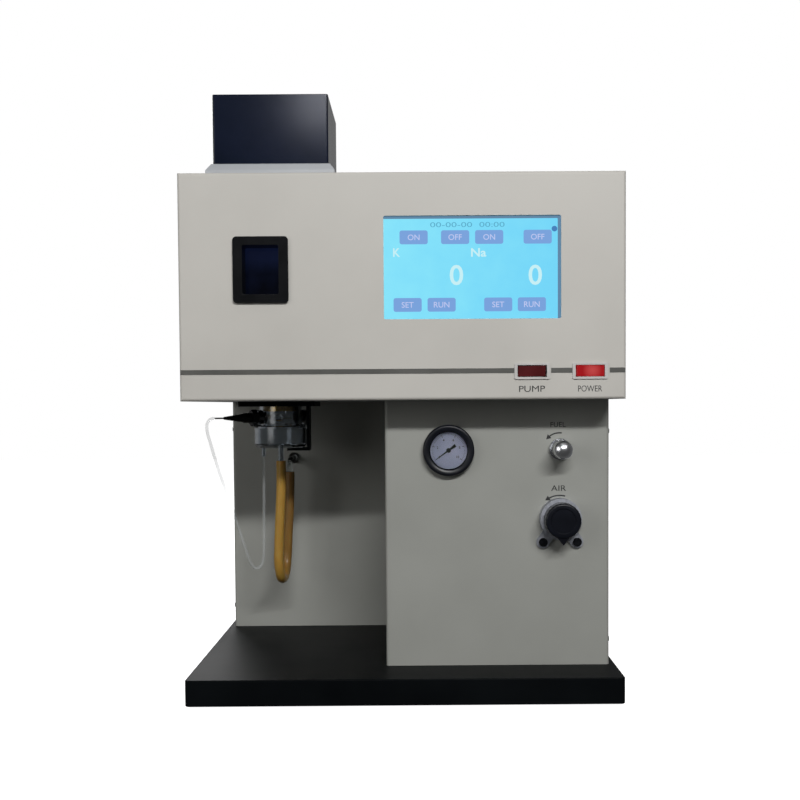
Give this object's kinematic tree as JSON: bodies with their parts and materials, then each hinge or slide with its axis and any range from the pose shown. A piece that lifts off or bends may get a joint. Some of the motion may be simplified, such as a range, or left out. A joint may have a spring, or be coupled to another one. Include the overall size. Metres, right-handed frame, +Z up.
{
  "type": "flame photometer",
  "caption": "Bench flame photometer with a chimney, viewing window, touch display, rocker switches, gauge, valve knobs and an open sample bay.",
  "frame": {"origin": "middle of the bounding box on the bench, under the base", "axes": "+Z up, +X to the viewer's right, the front faces -Y"},
  "size_m": [0.3996, 0.376, 0.574],
  "materials": {
    "head_paint": "fine-textured light grey powder coat",
    "body_paint": "fine-textured grey powder coat",
    "base_paint": "black semi-gloss paint",
    "chimney_paint": "black satin paint",
    "collar_metal": "pale grey satin paint",
    "zinc_steel": "zinc-plated sheet",
    "stainless": "bright stainless",
    "heat_steel": "heat-tinted stainless",
    "brass_metal": "turned brass",
    "chrome_knob": "polished chrome",
    "black_plastic": "moulded black plastic",
    "gloss_black": "gloss black plastic",
    "collar_alloy": "satin anodised",
    "black_alloy": "black anodised",
    "rubber": "moulded rubber",
    "latex": "amber latex",
    "clear_tube": "clear soft tubing",
    "clear_acrylic": "clear moulded acrylic",
    "clear_glass": "borosilicate glass",
    "blue_glass": "cobalt blue glass",
    "filter_glass": "interference filters",
    "screen": "lit touch display",
    "stripe_film": "dark self-adhesive stripe",
    "switch_plastic": "pale moulded nylon",
    "lamp_red_on": "lit translucent red",
    "lamp_red_off": "unlit translucent red",
    "dial_white": "white printed dial",
    "pointer_black": "black enamel",
    "ceramic": "glazed ceramic",
    "circuit_board": "green solder mask"
  },
  "bodies": {
    "root": {"base_tray": "base_paint", "bottom_plate": "zinc_steel", "rubber_feet": "rubber", "case_screws": "stainless", "frame_posts": "zinc_steel", "column_shell": "body_paint", "housing_shell": "body_paint", "rear_panel": "body_paint", "head_floor": "zinc_steel", "head_front_panel": "head_paint", "head_cover": "head_paint", "head_rear_panel": "head_paint", "trim_stripe": "stripe_film", "window_bezel": "black_plastic", "window_glass": "blue_glass", "view_tunnel": "zinc_steel", "burner_box": "heat_steel", "burner_plate": "base_paint", "burner_tube": "brass_metal", "burner_head": "brass_metal", "lamp_glass": "clear_glass", "igniter": "ceramic", "flue_tube": "heat_steel", "chimney_collar": "collar_metal", "chimney_shroud": "chimney_paint", "spray_chamber": "clear_acrylic", "side_plug": "rubber", "impact_bead": "clear_glass", "chamber_bracket": "base_paint", "nebuliser_body": "black_plastic", "nebuliser_needle": "stainless", "feed_pipes": "brass_metal", "drain_hose": "latex", "waste_elbow": "clear_glass", "sample_tube": "clear_tube", "lens_tube": "black_alloy", "detector_block": "black_alloy", "colour_filters": "filter_glass", "photocells": "stainless", "display_gasket": "rubber", "touch_glass": "screen", "display_module": "zinc_steel", "main_board": "circuit_board", "power_supply": "zinc_steel", "switch_bodies": "switch_plastic", "gauge_case": "black_alloy", "gauge_bezel": "gloss_black", "gauge_dial": "dial_white", "gauge_lens": "clear_glass", "fuel_valve_body": "stainless", "regulator_body": "black_alloy", "dial_collar": "collar_alloy", "rear_fittings": "brass_metal", "mains_inlet": "black_plastic"},
    "rocker_power": {"rocker_power": "lamp_red_on"},
    "rocker_pump": {"rocker_pump": "lamp_red_off"},
    "gauge_pointer": {"gauge_pointer": "pointer_black"},
    "fuel_knob": {"fuel_knob": "chrome_knob"},
    "air_knob": {"air_knob": "black_plastic"},
    "fuse_drawer": {"fuse_drawer": "black_plastic"}
  },
  "joints": [
    {"name": "power_switch", "type": "hinge", "parent": "root", "child": "rocker_power", "pos_m": [0.166, -0.183, 0.302], "axis": [0, 0, 1], "range_deg": [-14, 0]},
    {"name": "pump_switch", "type": "hinge", "parent": "root", "child": "rocker_pump", "pos_m": [0.1145, -0.183, 0.302], "axis": [0, 0, 1], "range_deg": [0, 14]},
    {"name": "gauge_needle", "type": "hinge", "parent": "root", "child": "gauge_pointer", "pos_m": [0.0415, -0.137, 0.23], "axis": [0, 1, 0], "range_deg": [0, 252], "stiffness_Nm_per_rad": 0.001},
    {"name": "fuel_valve", "type": "hinge", "parent": "root", "child": "fuel_knob", "pos_m": [0.1455, -0.15, 0.2305], "axis": [0, -1, 0], "range_deg": [0, 1620]},
    {"name": "air_regulator", "type": "hinge", "parent": "root", "child": "air_knob", "pos_m": [0.1455, -0.15, 0.1655], "axis": [0, 1, 0], "range_deg": [0, 990]},
    {"name": "fuse_drawer_slide", "type": "slide", "parent": "root", "child": "fuse_drawer", "axis": [0, 1, 0], "range_m": [0, 0.018]}
  ]
}
